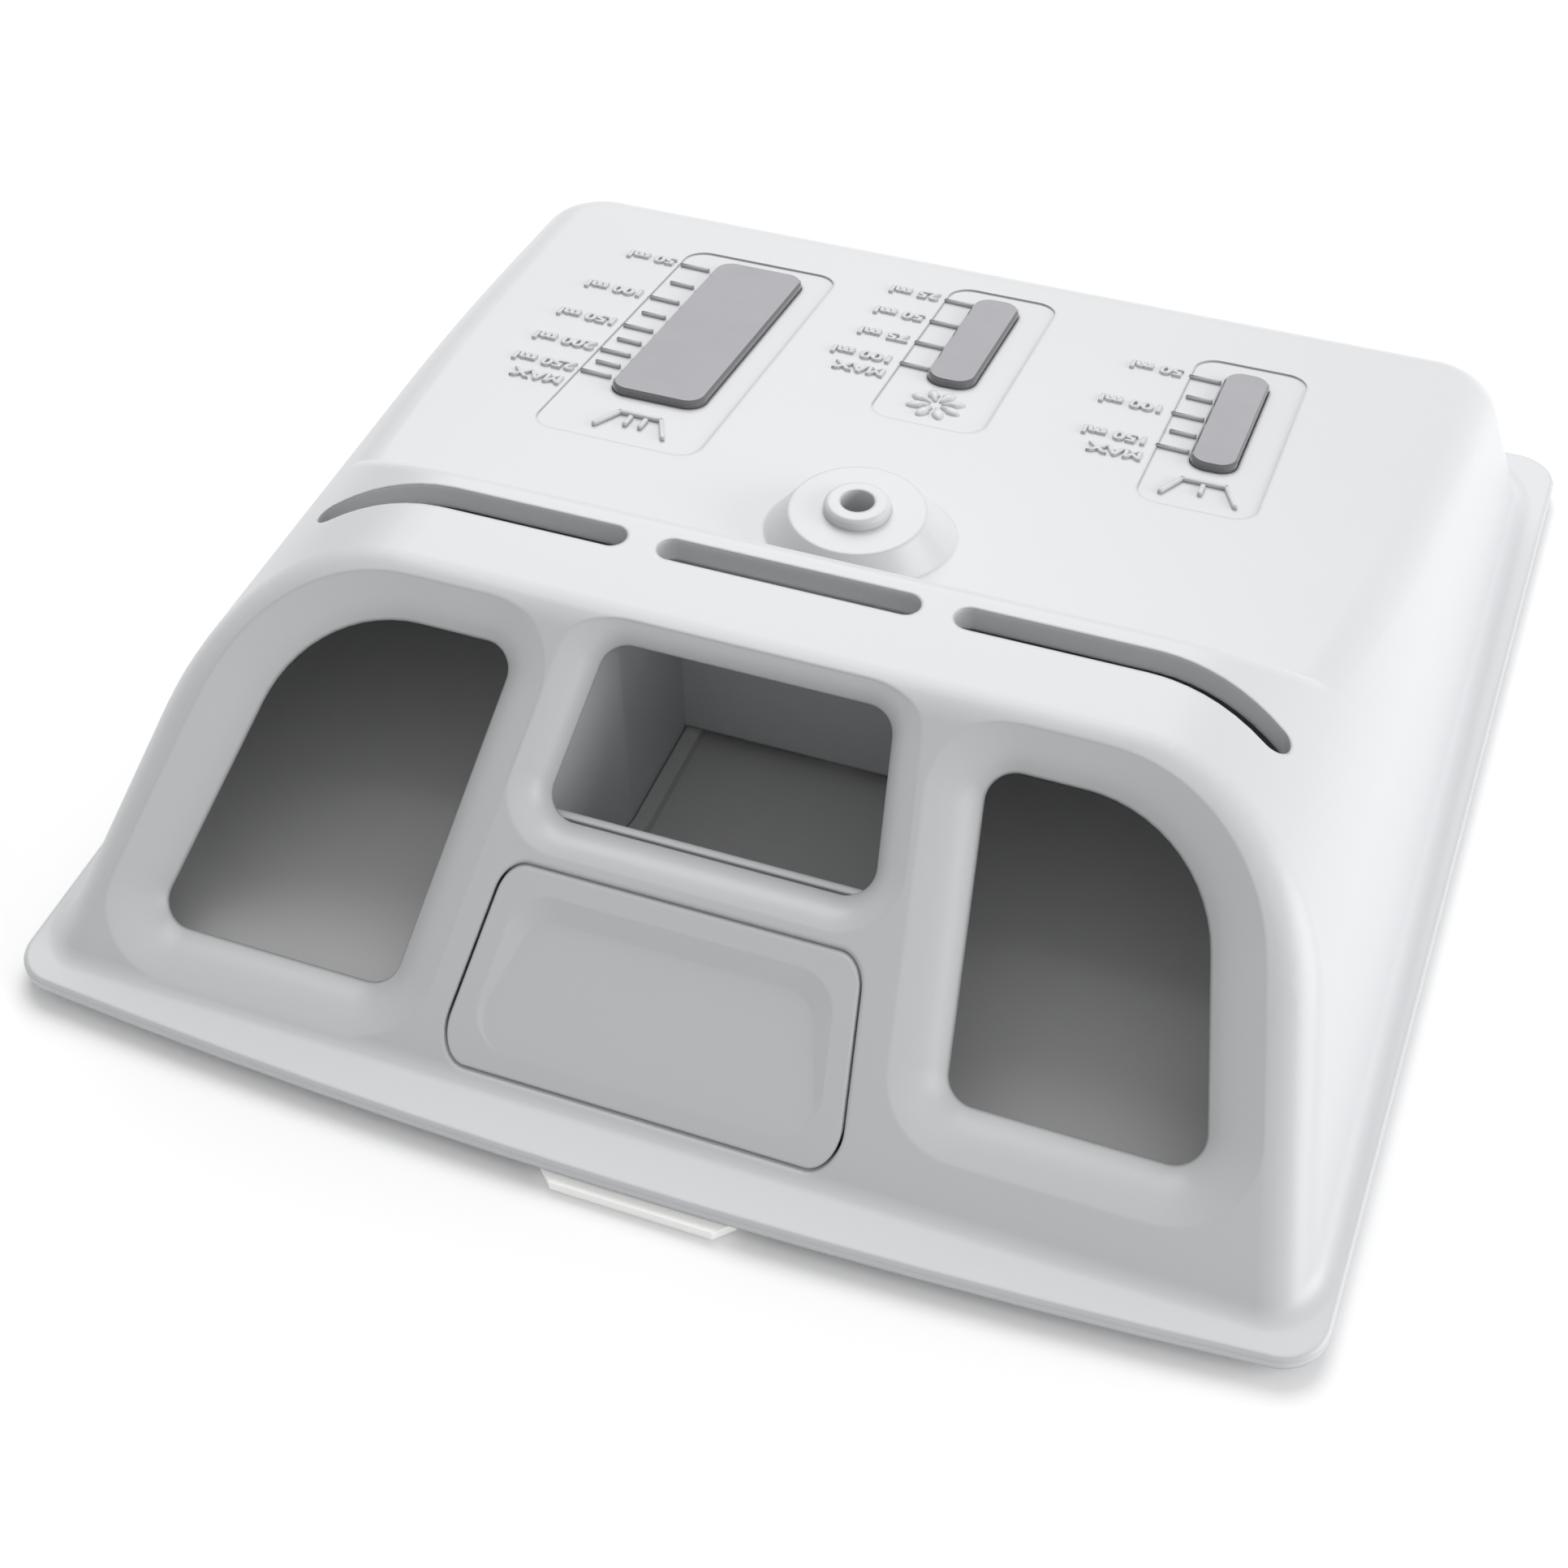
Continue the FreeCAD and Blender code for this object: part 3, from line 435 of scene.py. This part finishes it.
class DISPENSER_OT_scale_figures(bpy.types.Operator):
    """Raise the dose figures, which read with the lid upright"""

    bl_idname = "dispenser.scale_figures"
    bl_label = "Scale Figures"

    def execute(self, context):
        marks = context.scene.dispenser_marks
        half_height = marks.text_size * HALF_FIGURE
        for name, scale in SCALES.items():
            start = scale["start"] * MILLIMETRE - TEXT_GAP
            words = []
            for index, dose in enumerate(scale["doses"]):
                along = mark_along(scale, index * scale["every"])
                words.append(raised_text(f"{dose} ml", on_windows(start, along + half_height, 0.0, math.pi)))
            below = along + half_height - TOP_WORD_DROP
            words.append(raised_text(TOP_WORD, on_windows(start, below, 0.0, math.pi)))
            finished(join(words, name + "_scale_figures"), mark_material())
        return {"FINISHED"}


# Wash signs: middle across, flat bottom of the tub along the fall, and the short bars inside it

SIGNS = {
    "main": {"middle": -62.8, "along": 46.0, "bars": (-2.0, 2.0)},
    "prewash": {"middle": 74.8, "along": 71.6, "bars": (0.0,)},
}
TUB_BOTTOM = 11.0 * MILLIMETRE
TUB_TOP = 18.2 * MILLIMETRE
TUB_DEPTH = 8.0 * MILLIMETRE
TUB_BAR = 3.6 * MILLIMETRE


class DISPENSER_OT_tub_signs(bpy.types.Operator):
    """Raise the wash-tub signs of the main wash and the prewash"""

    bl_idname = "dispenser.tub_signs"
    bl_label = "Wash-Tub Signs"

    def execute(self, context):
        marks = context.scene.dispenser_marks
        height = marks.recess + marks.rise
        for name, sign in SIGNS.items():
            middle = sign["middle"] * MILLIMETRE
            along = sign["along"] * MILLIMETRE
            spread = (TUB_TOP - TUB_BOTTOM) / 2
            strokes = [((-TUB_BOTTOM / 2, 0.0), (TUB_BOTTOM / 2, 0.0))]
            for hand in (-1, 1):
                strokes.append(((hand * TUB_BOTTOM / 2, 0.0), (hand * (TUB_BOTTOM / 2 + spread), -TUB_DEPTH)))
            for bar in sign["bars"]:
                strokes.append(((bar * MILLIMETRE, -TUB_BAR / 2), (bar * MILLIMETRE, -TUB_BAR * 1.5)))
            pieces = []
            for start, end in strokes:
                run = Vector(end) - Vector(start)
                bar = raised_bar(run.length + marks.stroke, marks.stroke, height, 1.0)
                turn = math.atan2(run.y, run.x)
                place = on_windows(middle + start[0], along + start[1], -marks.recess, turn)
                pieces.append(copy_at(bar, place @ Matrix.Translation((-marks.stroke / 2, 0.0, 0.0))))
                remove(bar)
            finished(join(pieces, name + "_tub_sign"), mark_material())
        return {"FINISHED"}


FLOWER = {"middle": 3.0, "along": 82.9, "petals": 8}
PETAL_LENGTH = 6.4 * MILLIMETRE
PETAL_WIDTH = 3.2 * MILLIMETRE
PETAL_START = 1.4 * MILLIMETRE
PETAL_WAIST = 0.45
PETAL_NARROW = 0.55


class DISPENSER_OT_flower_sign(bpy.types.Operator):
    """Raise the flower sign of the softener, one petal modelled and copied round"""

    bl_idname = "dispenser.flower_sign"
    bl_label = "Flower Sign"

    def execute(self, context):
        marks = context.scene.dispenser_marks
        deselect()
        bpy.ops.mesh.primitive_uv_sphere_add(segments=20, ring_count=10, radius=0.5)
        petal = context.object
        petal.scale = (PETAL_LENGTH, PETAL_WIDTH, 2 * (marks.recess + marks.rise))
        petal.location = (PETAL_START + PETAL_LENGTH / 2, 0.0, 0.0)
        apply_place(petal)
        pick_points(petal, lambda spot: spot.x < PETAL_START + PETAL_LENGTH * PETAL_WAIST)
        bpy.ops.transform.resize(value=(1.0, PETAL_NARROW, 1.0))
        bpy.ops.object.mode_set(mode="OBJECT")
        step = 2 * math.pi / FLOWER["petals"]
        petals = []
        for index in range(FLOWER["petals"]):
            place = on_windows(FLOWER["middle"] * MILLIMETRE, FLOWER["along"] * MILLIMETRE,
                               -marks.recess, (index + 0.5) * step)
            petals.append(copy_at(petal, place))
        remove(petal)
        finished(join(petals, "flower_sign"), mark_material())
        return {"FINISHED"}


class DISPENSER_OT_finishes(bpy.types.Operator):
    """Give every moulded piece its finish"""

    bl_idname = "dispenser.finishes"
    bl_label = "Finishes"

    def execute(self, context):
        colours = context.scene.dispenser_colours
        white = moulded_plastic("white moulding", colours.cover, 0.36, 0.12, 1.3 * MILLIMETRE)
        panel = moulded_plastic("satin moulding", colours.panel, 0.46, 0.2, 0.5 * MILLIMETRE)
        glossy = moulded_plastic("glossy moulding", colours.cover, 0.22, 0.05, 0.8 * MILLIMETRE)
        smoked = smoked_plastic("smoked plastic", colours.smoked)
        natural = milky_plastic_painted_glow("milky plastic painted glow", colours.natural)
        wire = drawn_wire("drawn wire", colours.wire)
        finishes = {
            "front_cover": white,
            "rear_panel": panel,
            "siphon_cap": panel,
            "release_button": glossy,
            "latch_tongue": natural,
            "return_springs": wire,
        }
        finishes.update({name: smoked for name in WINDOWS})
        for name, material in finishes.items():
            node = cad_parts[name]
            node.data.materials.clear()
            node.data.materials.append(material)
        # Painted shade: the window sides get a darker copy of the smoked finish
        self.paint_window_edge_shade(context, shade(colours.smoked, PAINTED_EDGE_SHADE)[:3])
        return {"FINISHED"}

    def paint_window_edge_shade(self, context, colour):
        """Side faces of the windows would look darker through more plastic; that darkness is painted shade, a
        darker copy of the smoked finish on every face turned away from the window face.
        """
        edge = smoked_plastic("smoked edge painted shade", colour)
        outward = Matrix.Rotation(-context.scene.dispenser_marks.slope, 3, "X") @ Vector((0.0, 0.0, 1.0))
        for name in WINDOWS:
            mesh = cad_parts[name].data
            mesh.materials.append(edge)
            for face in mesh.polygons:
                face.material_index = int(face.normal.dot(outward) < PAINTED_SHADE_FACE_LIMIT)


# Return springs


class DISPENSER_OT_spring_press(bpy.types.Operator):
    """Give the return springs a mesh of their own"""

    bl_idname = "dispenser.spring_press"
    bl_label = "Spring Press"

    def execute(self, context):
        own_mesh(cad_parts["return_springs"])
        return {"FINISHED"}


# Stage

CAMERA_PLACE = Vector((0.134668, -0.398791, 0.406058))
CAMERA_RIGHT = Vector((0.93805, 0.34637, -0.00984))
CAMERA_UP = Vector((-0.24155, 0.67400, 0.69813))
CAMERA_BACK = Vector((0.24844, -0.65250, 0.71591))
FLOOR_SIZE = 12.0
FLOOR_WHITE = (0.93, 0.93, 0.935, 1.0)


class DISPENSER_OT_stage(bpy.types.Operator):
    """Set up the pale floor, the soft lights and the camera"""

    bl_idname = "dispenser.stage"
    bl_label = "Stage"

    def execute(self, context):
        stage = context.scene.dispenser_stage
        self.floor()
        self.softbox("key light", stage.key_power, 1.6, (-0.35, 1.05, 1.25))
        self.softbox("side light", stage.side_power, 1.2, (1.5, 0.1, 0.34))
        self.sky(context.scene, stage.sky)
        self.camera(context.scene, stage.lens)
        context.scene.view_settings.view_transform = "Standard"
        return {"FINISHED"}

    def floor(self):
        deselect()
        bpy.ops.mesh.primitive_plane_add(size=FLOOR_SIZE)
        floor = bpy.context.object
        floor.name = "floor"
        finish = Finish("pale floor")
        floor.data.materials.append(finish.set(Base_Color=FLOOR_WHITE, Roughness=0.9))

    def softbox(self, name, power, size, place):
        deselect()
        bpy.ops.object.light_add(type="AREA", location=place)
        lamp = bpy.context.object
        lamp.name = name
        lamp.data.energy = power
        lamp.data.shape = "DISK"
        lamp.data.size = size
        lamp.rotation_euler = Vector(place).to_track_quat("Z", "Y").to_euler()

    def sky(self, scene, strength):
        scene.world = bpy.data.worlds.new("even light")
        scene.world.use_nodes = True
        background = scene.world.node_tree.nodes["Background"]
        background.inputs["Color"].default_value = (1.0, 1.0, 1.0, 1.0)
        background.inputs["Strength"].default_value = strength

    def camera(self, scene, lens):
        deselect()
        bpy.ops.object.camera_add()
        camera = bpy.context.object
        camera.data.lens = lens
        camera.data.sensor_width = 36.0
        camera.data.clip_start = 0.01
        turn = Matrix((CAMERA_RIGHT, CAMERA_UP, CAMERA_BACK)).transposed().to_4x4()
        camera.matrix_world = Matrix.Translation(CAMERA_PLACE) @ turn
        scene.camera = camera


STEPS = (
    DISPENSER_OT_finishes,
    DISPENSER_OT_scale_ticks,
    DISPENSER_OT_scale_figures,
    DISPENSER_OT_tub_signs,
    DISPENSER_OT_flower_sign,
    DISPENSER_OT_spring_press,
    DISPENSER_OT_stage,
)


class DISPENSER_PT_looks(bpy.types.Panel):
    """Sidebar panel with the steps of the dispenser"""

    bl_idname = "DISPENSER_PT_looks"
    bl_label = "Detergent Dispenser"
    bl_space_type = "VIEW_3D"
    bl_region_type = "UI"
    bl_category = "Dispenser"

    def draw(self, context):
        for group_name in GROUPS:
            group = getattr(context.scene, group_name)
            for name in group.__annotations__:
                self.layout.prop(group, name)
        for step in STEPS:
            self.layout.operator(step.bl_idname)


GROUPS = {
    "dispenser_colours": DispenserColours,
    "dispenser_marks": DispenserMarks,
    "dispenser_stage": DispenserStage,
}


def register():
    for name, group in GROUPS.items():
        bpy.utils.register_class(group)
        setattr(bpy.types.Scene, name, PointerProperty(type=group))
    for item in STEPS + (DISPENSER_PT_looks,):
        bpy.utils.register_class(item)


def unregister():
    for item in reversed(STEPS + (DISPENSER_PT_looks,)):
        bpy.utils.unregister_class(item)
    for name, group in reversed(GROUPS.items()):
        delattr(bpy.types.Scene, name)
        bpy.utils.unregister_class(group)


def main():
    register()
    bpy.ops.dispenser.finishes()
    bpy.ops.dispenser.scale_ticks()
    bpy.ops.dispenser.scale_figures()
    bpy.ops.dispenser.tub_signs()
    bpy.ops.dispenser.flower_sign()
    bpy.ops.dispenser.spring_press()
    bpy.ops.dispenser.stage()


if __name__ == "__main__":
    main()
